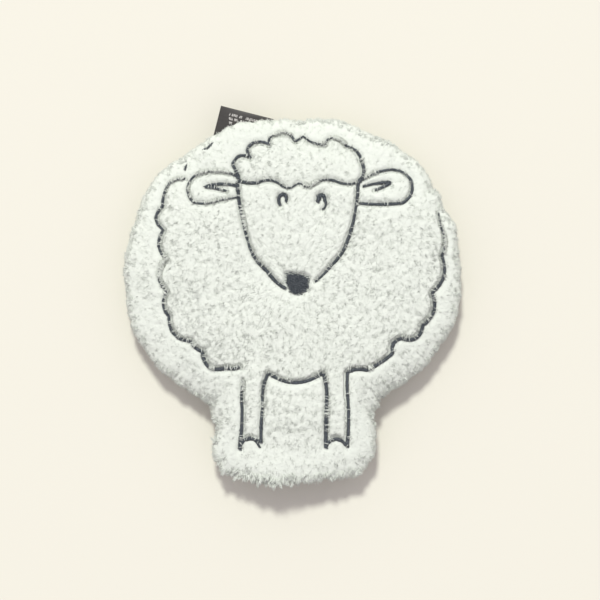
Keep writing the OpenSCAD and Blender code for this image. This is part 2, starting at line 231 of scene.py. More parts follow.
def sample(grid, x, y):
    """A plan map read at (x, y) with straight-line blending between its cells."""
    i = np.clip((x - MAP_LEFT) / CELL, 0, grid.shape[1] - 1.001)
    j = np.clip((y - MAP_LOW) / CELL, 0, grid.shape[0] - 1.001)
    i0, j0 = i.astype(int), j.astype(int)
    fx, fy = i - i0, j - j0
    return ((grid[j0, i0] * (1 - fx) + grid[j0, i0 + 1] * fx) * (1 - fy)
            + (grid[j0 + 1, i0] * (1 - fx) + grid[j0 + 1, i0 + 1] * fx) * fy)


def plain_noise(x, y, size, seed):
    """Value noise from -1 to 1: random numbers on a square lattice of that size, blended smoothly."""
    side, middle = 512, 200
    r = np.random.default_rng(seed).uniform(-1, 1, (side, side))
    i, j = x / size + middle, y / size + middle
    i0, j0 = np.floor(i).astype(int), np.floor(j).astype(int)
    fx, fy = i - i0, j - j0
    fx, fy = fx * fx * (3 - 2 * fx), fy * fy * (3 - 2 * fy)
    i0, j0 = i0 % (side - 1), j0 % (side - 1)
    return ((r[j0, i0] * (1 - fx) + r[j0, i0 + 1] * fx) * (1 - fy)
            + (r[j0 + 1, i0] * (1 - fx) + r[j0 + 1, i0 + 1] * fx) * fy)


def inside(poly, x, y):
    """True where (x, y) is inside a polygon, by counting the sides that a ray crosses."""
    hit = np.zeros(x.shape, bool)
    for (x1, y1), (x2, y2) in zip(poly, np.roll(poly, -1, 0)):
        if y1 != y2:
            hit ^= ((y1 > y) != (y2 > y)) & (x < (x2 - x1) * (y - y1) / (y2 - y1) + x1)
    return hit


def run(name, part=0, back=False):
    """The plan points of one line of a run, from its first point or back from its last."""
    p = LINES[name][part][:, :2]
    return p[::-1] if back else p


FORELOCK = np.vstack([run("forelock"), run("brow_line", back=True)])
FACE = np.vstack([run("brow_line"), run("face_right"), run("face_left", back=True)])
FLEECE = np.vstack([run("fleece_left"), run("belly_line"), run("fleece_right"),
                    run("fleece_top", back=True)])
EARS = [run("ear_left"), run("ear_right")]
LEGS = [np.vstack([run("leg_left"), run("leg_left", 1, True)]),
        np.vstack([run("leg_right"), run("leg_right", 1, True)])]

shown = [l for k, v in LINES.items() if k != "fleece_top" for l in v]
nose_edge = outline_points(NOSE)
nose_line = np.hstack([nose_edge, np.ones((len(nose_edge), 1))])
to_line = nearest(np.vstack([l[::2] for l in shown] + [nose_line]), GX, GY)
to_line[inside(NOSE, GX, GY)] = 0

# the embroidery draws the pile down in a groove, and the pile swells between the lines
GROOVE_DEPTH, GROOVE_WIDTH, SWELL, SWELL_WIDTH = 2.1, 1.3, 0.8, 7
GROOVE = SWELL * (1 - np.exp(-to_line / SWELL_WIDTH)) - GROOVE_DEPTH * np.exp(-(to_line / GROOVE_WIDTH) ** 2)


# ---------------------------------------------------------------- meshes
def solid(name, verts, quads=(), tris=(), smooth=True, tone=None, uv=None, body="mitt"):
    """A mesh object from whole arrays: vertices in millimetres, quad and triangle indices, an optional
    number per vertex called tone, and an optional (u, v) per vertex."""
    quads = np.asarray(quads, np.int64).reshape(-1, 4)
    tris = np.asarray(tris, np.int64).reshape(-1, 3)
    mesh = bpy.data.meshes.new(name)
    mesh.vertices.add(len(verts))
    mesh.vertices.foreach_set("co", (np.asarray(verts, np.float64) * 0.001).astype(np.float32).ravel())
    corner = np.concatenate([quads.ravel(), tris.ravel()]).astype(np.int32)
    size = np.concatenate([np.full(len(quads), 4), np.full(len(tris), 3)])
    mesh.loops.add(len(corner))
    mesh.loops.foreach_set("vertex_index", corner)
    mesh.polygons.add(len(size))
    mesh.polygons.foreach_set("loop_start", np.concatenate([[0], np.cumsum(size)[:-1]]).astype(np.int32))
    mesh.polygons.foreach_set("use_smooth", np.full(len(size), smooth))
    mesh.update(calc_edges=True)
    if tone is not None:
        mesh.attributes.new("tone", "FLOAT", "POINT").data.foreach_set(
            "value", np.asarray(tone, np.float32))
    if uv is not None:
        mesh.uv_layers.new(name="cloth").data.foreach_set(
            "uv", np.asarray(uv, np.float32)[corner].ravel())
    mesh.validate()
    obj = bpy.data.objects.new(name, mesh)
    bpy.context.scene.collection.objects.link(obj)
    if body:
        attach(obj, body)
    return obj


def grid_quads(rows, cols, wrap_rows=False, wrap_cols=False, start=0):
    """Quads of a grid of vertices stored row by row; either way round may close on itself."""
    i = np.arange(rows if wrap_rows else rows - 1)[:, None]
    j = np.arange(cols if wrap_cols else cols - 1)[None, :]
    i2, j2 = (i + 1) % rows, (j + 1) % cols
    q = np.stack([i * cols + j, i * cols + j2, i2 * cols + j2, i2 * cols + j], -1)
    return q.reshape(-1, 4) + start


def flip(faces):
    """The same faces, turned to look the other way."""
    return np.asarray(faces)[:, ::-1]


def shell(name, outer, inner, side):
    """A closed layer: outer and inner grids of rings from the middle out, joined round the edge. The
    middle ring of each closes to one point, and the two may differ in their number of rings."""
    cols = outer.shape[1]
    v = np.vstack([outer[1:].reshape(-1, 3), inner[1:].reshape(-1, 3), [outer[0].mean(0)],
                   [inner[0].mean(0)]])
    n, end = (len(outer) - 1) * cols, len(v) - 2
    j = np.arange(cols)
    k = (j + 1) % cols
    q = np.vstack([grid_quads(len(outer) - 1, cols, wrap_cols=True),
                   flip(grid_quads(len(inner) - 1, cols, wrap_cols=True, start=n)),
                   np.stack([n - cols + j, n - cols + k, end - cols + k, end - cols + j], -1)])
    t = np.vstack([np.stack([np.full(cols, end), k, j], -1),
                   np.stack([np.full(cols, end + 1), n + j, n + k], -1)])
    if side > 0:
        q, t = flip(q), flip(t)
    return solid(name, v, q, t)


# ---------------------------------------------------------------- materials
class Value:
    """A shader number that takes part in sums and products; each operation adds its Math node."""

    def __init__(self, finish, socket):
        self.finish, self.socket = finish, socket

    def math(self, operation, other):
        return self.finish.node("ShaderNodeMath", {"operation": operation}, {0: self, 1: other})

    def __add__(self, other):
        return self.math("ADD", other)

    def __mul__(self, other):
        return self.math("MULTIPLY", other)

    def __sub__(self, other):
        return self.math("SUBTRACT", other)

    def __gt__(self, other):
        return self.math("GREATER_THAN", other)

    def __lt__(self, other):
        return self.math("LESS_THAN", other)

    def sin(self):
        return self.math("SINE", 0)

    def part(self):
        return self.math("FRACT", 0)


class Finish:
    """A node material. Constants are set on the shader's own sockets."""

    def __init__(self, name, rough, specular, **fixed):
        self.material = bpy.data.materials.new(name)
        self.material.use_nodes = True
        self.tree = self.material.node_tree
        self.shader = self.tree.nodes["Principled BSDF"]
        self.shader.inputs["Roughness"].default_value = rough
        self.shader.inputs["Specular IOR Level"].default_value = specular
        for socket, v in fixed.items():
            self.shader.inputs[socket.replace("_", " ")].default_value = v

    def node(self, kind, settings=None, sockets=None, out=0):
        """Adds a node, sets its settings, then its sockets by number or name, and returns an output."""
        n = self.tree.nodes.new(kind)
        for k, v in (settings or {}).items():
            setattr(n, k, v)
        for k, v in (sockets or {}).items():
            if isinstance(v, Value):
                self.tree.links.new(v.socket, n.inputs[k])
            else:
                n.inputs[k].default_value = v
        return Value(self, n.outputs[out])

    def place(self, name="Object"):
        return self.node("ShaderNodeTexCoord", out=name)

    def axis(self, vector, i):
        return self.node("ShaderNodeSeparateXYZ", sockets={0: vector}, out=i)

    def noise(self, scale, detail, rough=0.5):
        return self.node("ShaderNodeTexNoise", sockets={
            "Vector": self.place(), "Scale": scale, "Detail": detail, "Roughness": rough}, out="Fac")

    def blend(self, share, a, b):
        """A colour between a and b."""
        a, b = ((*c, 1) if isinstance(c, tuple) else c for c in (a, b))
        return self.node("ShaderNodeMix", {"data_type": "RGBA", "clamp_factor": True},
                         {"Factor": share, 6: a, 7: b}, out=2)

    def colour(self, value):
        self.tree.links.new(value.socket, self.shader.inputs["Base Color"])

    def rough(self, value):
        self.tree.links.new(value.socket, self.shader.inputs["Roughness"])

    def bump(self, height, depth, strength):
        out = self.node("ShaderNodeBump", sockets={"Height": height, "Distance": depth,
                                                   "Strength": strength}, out="Normal")
        self.tree.links.new(out.socket, self.shader.inputs["Normal"])

    def on(self, *objects):
        for o in objects:
            o.data.materials.clear()
            o.data.materials.append(self.material)


def pile_finish():
    """Loose white fibre: warmer and a little greyer at the root, the greying being painted shade of the
    deeper pile, with soft patches.
    """
    m = Finish("long_pile", rough=0.95, specular=0.05, Sheen_Weight=0.2, Sheen_Roughness=0.6)
    tone = m.node("ShaderNodeAttribute", {"attribute_name": "tone"}, out="Fac")
    patch = m.noise(26, 2)
    # darker towards the root along tone: painted shade of the deeper pile, over random tone per strand and
    # soft patches
    m.colour(m.blend(tone * 0.85 + patch * 0.3 - 0.1, SHADED_ROOT, TIP))
    m.bump(m.noise(2600, 2), 0.0002, 0.3)
    return m


def bed_finish():
    """The matted lower pile between the tufts."""
    m = Finish("matted_pile", rough=1.0, specular=0.05)
    fibre = m.noise(900, 4, 0.7)
    m.colour(m.blend(fibre * 0.8 + m.noise(60, 3) * 0.5 - 0.2, BED_LOW, BED_HIGH))
    m.bump(fibre + m.noise(300, 3) * 1.5, 0.0012, 0.5)
    return m


def thread_finish(name, dark, light, gloss=0.45):
    """Twisted thread: fine slanted ridges and a soft shine, with painted highlights, the colour lighter on
    the ridges and in fine speckles.
    """
    m = Finish(name, rough=gloss, specular=0.3, Sheen_Weight=0.05)
    at = m.place()
    ridge = ((m.axis(at, 0) + m.axis(at, 1) * 0.6) * 9000).sin() * 0.5 + 0.5
    # painted highlight: the ridges of the twist and fine speckles take the lighter colour
    m.colour(m.blend(ridge * 0.35 + m.noise(1100, 1) * 2.2 - 0.75, dark, light))
    m.rough(m.noise(900, 2) * 0.3 + gloss)
    m.bump(ridge, 0.0001, 0.5)
    return m


def weave_finish(name, dark, light, pitch, twill=0.0):
    """Plain or twill cloth: two crossed sets of ridges in the cloth's plane, with a slub here and there."""
    m = Finish(name, rough=0.85, specular=0.2, Sheen_Weight=0.15)
    at = m.place()
    k = 2 * np.pi / pitch
    x, y = m.axis(at, 0), m.axis(at, 1)
    over = (x * k).sin() * (y * k).sin() * 0.5 + 0.5 + ((x + y) * (k * 0.5)).sin() * twill
    m.colour(m.blend(over * 0.7 + m.noise(90, 3) * 0.35, dark, light))
    m.rough(m.noise(500, 2) * 0.15 + 0.78)
    m.bump(over + m.noise(700, 2) * 0.4, 0.0003, 0.6)
    return m


def wadding_finish():
    """Loose fibre batt: cloudy white with fine tangled relief."""
    m = Finish("wadding", rough=1.0, specular=0.05)
    cloud = m.noise(140, 5, 0.7)
    m.colour(m.blend(cloud, (0.72, 0.72, 0.68), (0.86, 0.86, 0.83)))
    m.bump(cloud + m.noise(1100, 3) * 0.5, 0.001, 0.6)
    return m


LABEL_ROW = 2.9  # height of a row of bars on the label


def label_finish():
    """Dark satin ribbon with plain pale bars for print, set out on the ribbon's own map."""
    m = Finish("label_ribbon", rough=0.5, specular=0.35, Sheen_Weight=0.1)
    at = m.place("UV")
    across, out = m.axis(at, 0), m.axis(at, 1)
    rib = (out * 2.4).sin() * 0.5 + 0.5
    count = out * (1 / LABEL_ROW)
    in_row = count.part()
    row = count - in_row

    def gaps(x, y, detail):
        return m.node("ShaderNodeTexNoise", {"noise_dimensions": "2D"}, {
            "Vector": m.node("ShaderNodeCombineXYZ", sockets={0: x, 1: y}), "Scale": 1.0, "Detail": detail})

    bar = (in_row > 0.2) * (in_row < 0.8)
    word = gaps(across * 0.34, row * 7.3, 1.0) > 0.43
    fine = gaps(across * 2.1, row * 3.1 + in_row * 1.5, 0.0) > 0.4
    span = (across > row * 0.35 - 12.5) * (across < 16.5) * (out > 2.6) * (out < 19.5)
    ground = m.blend(rib * 0.15 + m.noise(300, 2) * 0.6, (0.033, 0.03, 0.028), (0.055, 0.05, 0.047))
    m.colour(m.blend(bar * word * fine * span * 0.85, ground, (0.5, 0.48, 0.46)))
    m.bump(rib, 0.00003, 0.5)
    return m


# colours of the pile at its roots and tips, the root colour darker by painted shade, and of the matted pile
SHADED_ROOT, TIP = (0.675, 0.702, 0.646), (0.71, 0.742, 0.685)
BED_LOW, BED_HIGH = (0.652, 0.678, 0.623), (0.698, 0.726, 0.67)
PILE_M, BED_M = pile_finish(), bed_finish()
# the lighter colour of each thread is its painted highlight on the ridges and speckles
SLATE_M = thread_finish("slate_thread", (0.016, 0.021, 0.027), (0.12, 0.135, 0.15))
PALE_THREAD_M = thread_finish("pale_thread", (0.62, 0.61, 0.56), (0.8, 0.79, 0.74), 0.6)
LINING_M = weave_finish("lining_cloth", (0.58, 0.58, 0.53), (0.78, 0.78, 0.73), 0.0011)
TAPE_M = weave_finish("binding_tape", (0.55, 0.55, 0.5), (0.76, 0.76, 0.7), 0.0013, 0.4)
WADDING_M = wadding_finish()
LABEL_M = label_finish()


# ---------------------------------------------------------------- panels, wadding, lining
# how far the matted pile lies inside the tips at the rim, and its height over the seam
BED_INSET, BED_RISE = 1.8, 15.9
DENTS = (-83, -94.5, -108)  # heights of the faint creases between the legs
OVERHANG = 6  # below this height the back panel tucks under, and its relief is slight


def bed_relief(p, s):
    """How far the bed stands out of its plain form: grooves along the embroidery on the front, and soft
    clumps everywhere."""
    x, y = p[..., 0], p[..., 1]
    across, along = 0.86 * x - 0.51 * y, (0.51 * x + 0.86 * y) * 0.6
    lock = np.abs(plain_noise(across, along, 3.2, 3 + int(s)) + 0.4 * plain_noise(x, y, 2.0, 5 + int(s)))
    lump = 0.95 * np.minimum(lock, 0.5) - 0.3 + 0.5 * plain_noise(x, y, 19, 7 + int(s))
    if s < 0:
        return lump
    rows = sum(np.exp(-((y - r - 0.8 * plain_noise(x, y, 6, 9)) / 0.9) ** 2) for r in DENTS)
    rows *= np.clip((18.5 - np.abs(x - 1)) / 4, 0, 1) * (0.6 + 0.6 * plain_noise(x, y, 5, 12))
    return lump * np.clip(sample(to_line, x, y) / 2, 0.25, 1) + sample(GROOVE, x, y) - 0.7 * rows


# the lumps of the edge: direction from the middle, and how far the pile stands out there
LUMPS = np.array([
    (-180, 0.5), (-170, 1), (-160, 2.5), (-146, 2), (-131, 0.5), (-117, 1), (-112, 3), (-106, 0.5),
    (-98, 5.5), (-92, 6), (-86, 3), (-79, 1), (-70, 1.5), (-66, 4), (-60, 0.5), (-52, -1.5), (-43, -1),
    (-36, 1.5), (-28, 0.5), (-16, 2.5), (-8, 2.5), (0, 0.5), (6, -1), (11, 0.5), (16, 3), (21, 0.5),
    (25, 0), (28, 2.6), (32, 0), (37, 4), (42, 5), (48, 3), (54, 3.6), (60, 1), (68, 3), (76, 2), (85, -1),
    (95, -1), (104, 0), (110, 2.5), (117, 1), (125, -0.5), (131, -1), (138, 3), (145, 3), (152, 2),
    (160, 0), (170, 0.5), (180, 0.5)])
LUMPS_LIFT = 0.7  # added to every one of them
EDGE = 118  # radius of the circle that the noise round the edge is read on


def edge_reach(a):
    """How far the pile stands out past the even outline: broad lumps, smaller ones on them, and at the
    hem the points of locks."""
    x, y = EDGE * np.cos(np.radians(a)), EDGE * np.sin(np.radians(a))
    hem = np.clip((-np.sin(np.radians(a)) - 0.7) / 0.2, 0, 1)
    broad = np.interp((a + 180) % 360 - 180, LUMPS[:, 0], LUMPS[:, 1] + LUMPS_LIFT)
    return broad + 0.9 * plain_noise(x, y, 7, 71) + (0.6 + 1.5 * hem) * plain_noise(x, y, 3.2, 72)


def bed(a, u, side):
    """The surface of the matted lower pile: a layer part way up the pile, moved along the way out to the
    tips by its relief, and at the rim by the reach of the edge."""
    base = layer(a, u, BED_INSET, BED_RISE, side)
    way = unit(layer(a, u, 0.0, SEAM, side) - base)
    lift = bed_relief(base, side[1])
    if side[1] < 0:
        lift = np.where(base[..., 2] < OVERHANG, lift * 0.3, lift)
    keep = np.clip((1 - u) * 14 + 0.25, 0, 1)
    rim = np.clip((u - 0.86) / 0.13, 0, 1) ** 1.5
    return base + way * (lift * keep + edge_reach(a) * rim)[..., None]


def rings(side, count, n_a):
    """Angles and shares for a grid of rings, at even steps along the section of the crown."""
    reach, rise = 118, 13
    a = np.linspace(-180, 180, n_a, endpoint=False)
    u = np.sin(np.linspace(0, np.pi / 2, 4001))
    way = travelled(np.hypot(reach * np.diff(u), rise * np.diff(crown(u, side[0]))))
    u = np.interp(np.linspace(0, way[-1], count), way, u)
    return np.broadcast_to(a, (count, n_a)), np.broadcast_to(u[:, None], (count, n_a))


def make_panel(name, side, count, n_a):
    """A pile panel: matted pile outside, in that many rings of n_a points, and smooth cloth inside."""
    top = bed(*rings(side, count, n_a), side)
    low = layer(*rings(side, 24, n_a), PILE, GROUND_RISE, side)
    p = shell(name, top, low, side[1])
    BED_M.on(p)
    return p


def make_layer(name, side, inset_out, rise_out, inset_in, rise_in, finish, ripple):
    """Wadding or lining: a smooth layer between an outer and an inner surface, with soft ripples."""
    a, u = rings(side, 34, 300)
    wave = ripple * plain_noise(*(edge_point(a, 10.0) * u[..., None]).transpose(2, 0, 1), 15, 11)
    keep = np.clip((1 - u) * 8, 0, 1)
    out = layer(a, u, inset_out, rise_out, side, 0.0)
    inn = layer(a, u, inset_in, rise_in, side, 0.0)
    out[..., 2] -= np.abs(wave) * keep * side[1] * 0.5
    inn[..., 2] += wave * keep * side[1]
    p = shell(name, out, inn, side[1])
    finish.on(p)
    return p


front_panel = make_panel("front_pile_panel", FRONT, 122, 640)
back_panel = make_panel("back_pile_panel", BACK, 80, 420)
WADDING = (10.15, 10.06, 11.0, 7.1, WADDING_M, 0.1)
LINING = (11.15, 6.9, 12.1, 6.0, LINING_M, 0.45)
front_wad = make_layer("front_wadding_pad", FRONT, *WADDING)
back_wad = make_layer("back_wadding_pad", BACK, *WADDING)
front_lin = make_layer("front_pocket_lining", FRONT, *LINING)
back_lin = make_layer("back_pocket_lining", BACK, *LINING)


# ---------------------------------------------------------------- tufts of pile
# how far along a strand its rings of points stand, and how thick it is there, by their number
STATIONS = {2: ((0.0, 0.55), (1.0, 0.75)), 3: ((0.0, 0.42, 0.8), (1.0, 0.9, 0.5))}


def tufts(name, root, mid, tip, width, shade, stations=3):
    """Strands of pile: each runs along a quadratic curve from root through mid to tip, three-sided,
    and tapers to a point. shade is a number per strand; tone grows from root to tip on top of it, so the
    roots take the painted shade of the deeper pile."""
    n = len(root)
    t, thick = (np.array(v) for v in STATIONS[stations])
    c = ((1 - t) ** 2)[None, :, None] * root[:, None] + (2 * t * (1 - t))[None, :, None] * mid[:, None] \
        + (t ** 2)[None, :, None] * tip[:, None]
    d = unit(tip - root)
    s = unit(np.cross(d, mid - root * 0.5 - tip * 0.5 + d[:, ::-1] * 0.05))
    b = np.cross(s, d) * 0.5
    ang = np.arange(3) * 2 * np.pi / 3 + np.pi / 2 + np.random.default_rng(n).normal(0, 0.35, (n, 1))
    r = (width[:, None] * thick)[:, :, None, None] * 0.5
    ring = (np.cos(ang)[:, None, :, None] * s[:, None, None]
            + np.sin(ang)[:, None, :, None] * b[:, None, None])
    k = stations
    v = np.concatenate([(c[:, :, None] + ring * r).reshape(n, 3 * k, 3), tip[:, None]], 1)
    start = (np.arange(n) * (3 * k + 1))[:, None, None]
    j = np.arange(3)
    top = np.stack([3 * (k - 1) + j, 3 * (k - 1) + (j + 1) % 3, np.full(3, 3 * k)], -1)
    tri = np.concatenate([top, [[2, 1, 0]]])
    tone = np.concatenate([np.repeat(t, 3), [1.0]])[None, :] * 0.75 + shade[:, None] * 0.3
    quad = grid_quads(k, 3, wrap_cols=True)
    return solid(name, v.reshape(-1, 3), flip((quad[None] + start).reshape(-1, 4)),
                 flip((tri[None] + start).reshape(-1, 3)), tone=tone.ravel())


def facing(a, u, side):
    """The way a panel faces at (a, u): the cross product of two short steps along its plain surface."""
    v = np.minimum(u, 0.995)
    p = layer(a, v, BED_INSET, BED_RISE, side)
    n = unit(np.cross(layer(a, v + 0.004, BED_INSET, BED_RISE, side) - p,
                      layer(a + 0.3, v, BED_INSET, BED_RISE, side) - p)) * side[1]
    return np.where(u[:, None] < 0.01, np.array([0, 0, side[1]]), n)


FULL_TURN = 6.283  # radians, for a direction drawn at random
FLOOR_GAP = 0.5  # no strand reaches lower than this


def turned(ways, angle):
    """Plan directions, each turned left by its own angle."""
    c, s = np.cos(angle), np.sin(angle)
    return np.stack([ways[:, 0] * c - ways[:, 1] * s, ways[:, 0] * s + ways[:, 1] * c], -1)


def clumps(rng, a, u, side, height, lean_to, lean, strands, spread, width, wild):
    """Roots, middles and tips of the strands of many clumps. Each clump stands on the bed at (a, u); its
    strands start spread about it and draw together towards the clump's own tip, which leans in plan."""
    n, m = len(a), len(a) * strands
    foot, way = bed(a, u, side), facing(a, u, side)
    to = turned(lean_to, rng.normal(0, 0.38, n))
    along = np.concatenate([to, np.zeros((n, 1))], -1)
    along = along - (along * way).sum(-1, keepdims=True) * way
    h = height * rng.uniform(0.8, 1.2, n)
    top = foot + way * h[:, None] + along * (lean * rng.uniform(0.6, 1.4, n))[:, None]
    foot, way, top, h = (np.repeat(v, strands, 0) for v in (foot, way, top, h))
    e1 = unit(np.cross(way, np.array([0.3, 0.5, 0.81])))
    e2 = np.cross(way, e1)
    angle = rng.uniform(0, FULL_TURN, m)
    off = np.sqrt(rng.uniform(0, 1, m)) * np.repeat(np.broadcast_to(spread, (n,)), strands)
    off = e1 * (np.cos(angle) * off)[:, None] + e2 * (np.sin(angle) * off)[:, None]
    root = foot + off - way * 1.2
    pull = rng.uniform(0.0, 0.45, m)[:, None]
    stray = rng.normal(0, wild, (m, 3))
    tip = top + off * (1 - pull) + stray * (0.4 + rng.uniform(0, 1, m) ** 3)[:, None] * 2
    tip -= way * (rng.uniform(0, 0.3, m) * h)[:, None]
    mid = root * 0.45 + tip * 0.55 + way * (h * 0.42 + 0.15)[:, None] + off * 0.25
    mid += rng.normal(0, 0.15, (m, 3))
    for q in (root, mid, tip):
        q[:, 2] = np.maximum(q[:, 2], FLOOR_GAP)
    shade = np.repeat(rng.normal(0, 0.35, n), strands) + rng.normal(0, 0.35, m)
    return root, mid, tip, width * rng.uniform(0.7, 1.3, m), shade


def spots(spacing, u_high, rng):
    """Scattered places on the flat of a panel: a hexagonal grid in plan, well shaken, out to u_high."""
    x, y = np.meshgrid(np.arange(-125, 126, spacing), np.arange(-148, 120, spacing * 0.866))
    x = x + (np.arange(len(x)) % 2)[:, None] * spacing / 2
    p = np.stack([x.ravel(), y.ravel()], -1) + rng.uniform(-0.42, 0.42, (x.size, 2)) * spacing
    a, u = place_of(p, BED_INSET)
    return a[u < u_high], u[u < u_high]


def rim_spots(spacing, u_low, side, rng):
    """Scattered places round the rim of a panel, evenly by length both along the rim and up its section."""
    reach, rise = 110, 15
    a = np.linspace(-180, 180, 2881)[:-1]
    out_a, out_u = [], []
    v = u_low + (1 - u_low) * np.sin(np.linspace(0, np.pi / 2, 800))
    up = travelled(np.hypot(reach * np.diff(v), rise * np.diff(crown(v, side[0]))))
    rows = int(up[-1] / spacing)
    for i in range(rows):
        u = np.interp((i + rng.uniform(0.3, 0.7)) * up[-1] / rows, up, v)
        p = edge_point(a, BED_INSET) * u
        round_ = travelled(np.linalg.norm(np.diff(p, axis=0), axis=1))
        n = int(round_[-1] / spacing)
        at = (np.arange(n) + rng.uniform(-0.4, 0.4, n) + 0.5) * round_[-1] / n
        out_a.append(np.interp(at, round_, a))
        out_u.append(np.full(n, u) + rng.uniform(-0.5, 0.5, n) * (1 - u) * 0.5)
    return np.concatenate(out_a), np.clip(np.concatenate(out_u), 0, 1)


def outward(a):
    """The plan direction that points out of the mitt, square to its edge."""
    t = unit(edge_point(a + 0.4) - edge_point(a - 0.4))
    return np.stack([t[:, 1], -t[:, 0]], -1)


def left_or_right(x):
    return np.where(x < 0, "left", "right").astype("<U24")


def edge_zones(a):
    """Which stretch of the edge each place is on."""
    zones = left_or_right(np.cos(np.radians(a)))
    zones[(a > -122) & (a < -58)] = "hem"
    return zones


STRANDS_PER_PIECE = 11500


def sow(prefix, zones, a, u, side, rng, strands, stations=2, **how):
    """Grows clumps at (a, u) and gathers their strands into one object per zone, split where large."""
    made = []
    grown = clumps(rng, a, u, side, strands=strands, **how)
    zone = np.repeat(zones, strands)
    for z in np.unique(zone):
        i = np.flatnonzero(zone == z)
        pieces = int(np.ceil(len(i) / STRANDS_PER_PIECE))
        for part, j in enumerate(np.array_split(i, pieces)):
            name = f"{prefix}{z}" + (f"_{part + 1}" if pieces > 1 else "")
            made.append(tufts(name, *(v[j] for v in grown), stations=stations))
    PILE_M.on(*made)
    return made


rng = np.random.default_rng(20)
a, u = spots(2.7, 0.9, rng)
foot = layer(a, u, BED_INSET, BED_RISE, FRONT)
x, y = foot[:, 0], foot[:, 1]
near = sample(to_line, x, y)
keep = near > 0.7
a, u, x, y, near = a[keep], u[keep], x[keep], y[keep], near[keep]
zones = np.char.add("border_", left_or_right(x))
zones[(y < -62) & (np.abs(x) < 75)] = "border_legs"
zones[inside(FLEECE, x, y) & (x < 0)] = "fleece_left"
zones[inside(FLEECE, x, y) & (x >= 0)] = "fleece_right"
zones[inside(EARS[0], x, y) | inside(EARS[1], x, y)] = "ears"
zones[inside(LEGS[0], x, y) | inside(LEGS[1], x, y)] = "legs"
zones[inside(FORELOCK, x, y)] = "forelock"
zones[inside(FACE, x, y)] = "face"

away = outward(a)
comb = np.stack([-0.55 + 0.4 * plain_noise(x, y, 14, 31), -0.7 + 0.4 * plain_noise(x, y, 14, 32)], -1)
out_share = np.clip((u - 0.62) / 0.3, 0, 1)[:, None]
comb = unit(comb * (1 - out_share) + away * out_share)
calm = np.clip(near / 3.5, 0.1, 1)
short = np.isin(zones, ["face", "ears", "legs"])
height = np.where(short, 0.28, 0.35) * (0.6 + 0.4 * calm)
lean = np.where(short, 2.4, 3.0) * calm
front_tufts = sow("pile_", zones, a, u, FRONT, rng, 11, height=height, lean_to=comb, lean=lean,
                  spread=0.5 + 1.4 * calm, width=0.52, wild=0.16)

a, u = rim_spots(2.7, 0.9, FRONT, rng)
low_edge = np.clip((-np.sin(np.radians(a)) - 0.2) / 0.6, 0, 1)
front_rim = sow("front_edge_", edge_zones(a), a, u, FRONT, rng, 10, height=0.45 + 0.15 * low_edge,
                lean_to=outward(a), lean=2.8 + 0.8 * low_edge, spread=1.7, width=0.56, wild=0.28)

# longer locks that stand out of the edge, most of all at the hem; none over the label
HEM_LOCKS, ROUND_LOCKS = 120, 400
a = np.concatenate([rng.uniform(-120, -60, HEM_LOCKS), rng.uniform(-59, 239, ROUND_LOCKS)])
a = a[label_part(a) < 0.2]
at_hem = np.arange(len(a)) < HEM_LOCKS
away = outward(a)
along_edge = np.stack([-away[:, 1], away[:, 0]], -1) * rng.normal(0, 0.35, (len(a), 1))
long = np.where(at_hem, rng.uniform(3.5, 7.5, len(a)) * (0.7 + 0.5 * np.exp(-((a + 98) / 9) ** 2)),
                rng.uniform(1.5, 3.2, len(a)))
u = rng.uniform(0.957, 0.985, len(a))
front_locks = sow("edge_locks_", np.where(at_hem, "hem", "round"), a, u, FRONT, rng, 14, stations=3,
                  height=0.42 * long, lean_to=unit(away + along_edge), lean=long, spread=1.1, width=0.58,
                  wild=0.16)

a, u = rim_spots(2.8, 0.85, BACK, rng)
back_rim = sow("back_edge_", edge_zones(a), a, u, BACK, rng, 8, height=0.8, lean_to=outward(a), lean=1.8,
               spread=1.8, width=0.65, wild=0.25)

a, u = spots(4.0, 0.85, rng)
x, y = layer(a, u, BED_INSET, BED_RISE, BACK)[:, :2].T
comb = unit(np.stack([plain_noise(x, y, 22, 41), -0.8 + 0.5 * plain_noise(x, y, 22, 42)], -1))
back_tufts = sow("back_pile_", left_or_right(x), a, u, BACK, rng, 7, height=1.5, lean_to=comb, lean=2.5,
                 spread=2.2, width=0.7, wild=0.3)


# ---------------------------------------------------------------- thread
def stitches(name, at, way, up, length, thick, arch, dive=0.5, base=None):
    """Short lengths of thread: each is a five-sided tube along way, arched up by arch in the middle and
    diving at both ends, closed by a point at each end. base adds ready-made vertices and quads."""
    n, k, m = len(at), 5, 5
    w = np.linspace(-1, 1, k)
    along, up = unit(way), unit(up)
    across = np.cross(up, along)
    c = at[:, None] + along[:, None] * (w[None, :, None] * length[:, None, None] / 2) \
        + up[:, None] * ((1 - w ** 2)[None, :] * arch[:, None] - dive * w[None, :] ** 4)[..., None]
    ang = np.arange(m) * 2 * np.pi / m
    ring = across[:, None] * np.cos(ang)[None, :, None] + up[:, None] * np.sin(ang)[None, :, None] * 0.8
    r = (1 - 0.45 * w ** 4)[None, :] * thick[:, None] / 2
    v = c[:, :, None] + ring[:, None] * r[..., None, None]
    ends = c[:, [0, -1]] + along[:, None] * (np.array([-0.4, 0.4])[None, :] * thick[:, None])[..., None]
    v = np.concatenate([v.reshape(n, k * m, 3), ends], 1).reshape(-1, 3)
    start = (np.arange(n) * (k * m + 2))[:, None, None]
    j = np.arange(m)
    t = np.concatenate([np.stack([np.full(m, k * m), (j + 1) % m, j], -1),
                        np.stack([np.full(m, k * m + 1), (k - 1) * m + j, (k - 1) * m + (j + 1) % m], -1)])
    q = (grid_quads(k, m, wrap_cols=True)[None] + start).reshape(-1, 4)
    if base is not None:
        q = np.vstack([q, base[1] + len(v)])
        v = np.vstack([v, base[0]])
    return solid(name, v, q, (t[None] + start).reshape(-1, 3))


def front_surface(p):
    """Height of the bed under plan points of the front."""
    a, u = place_of(p, BED_INSET)
    return bed(a, u, FRONT)[:, 2]


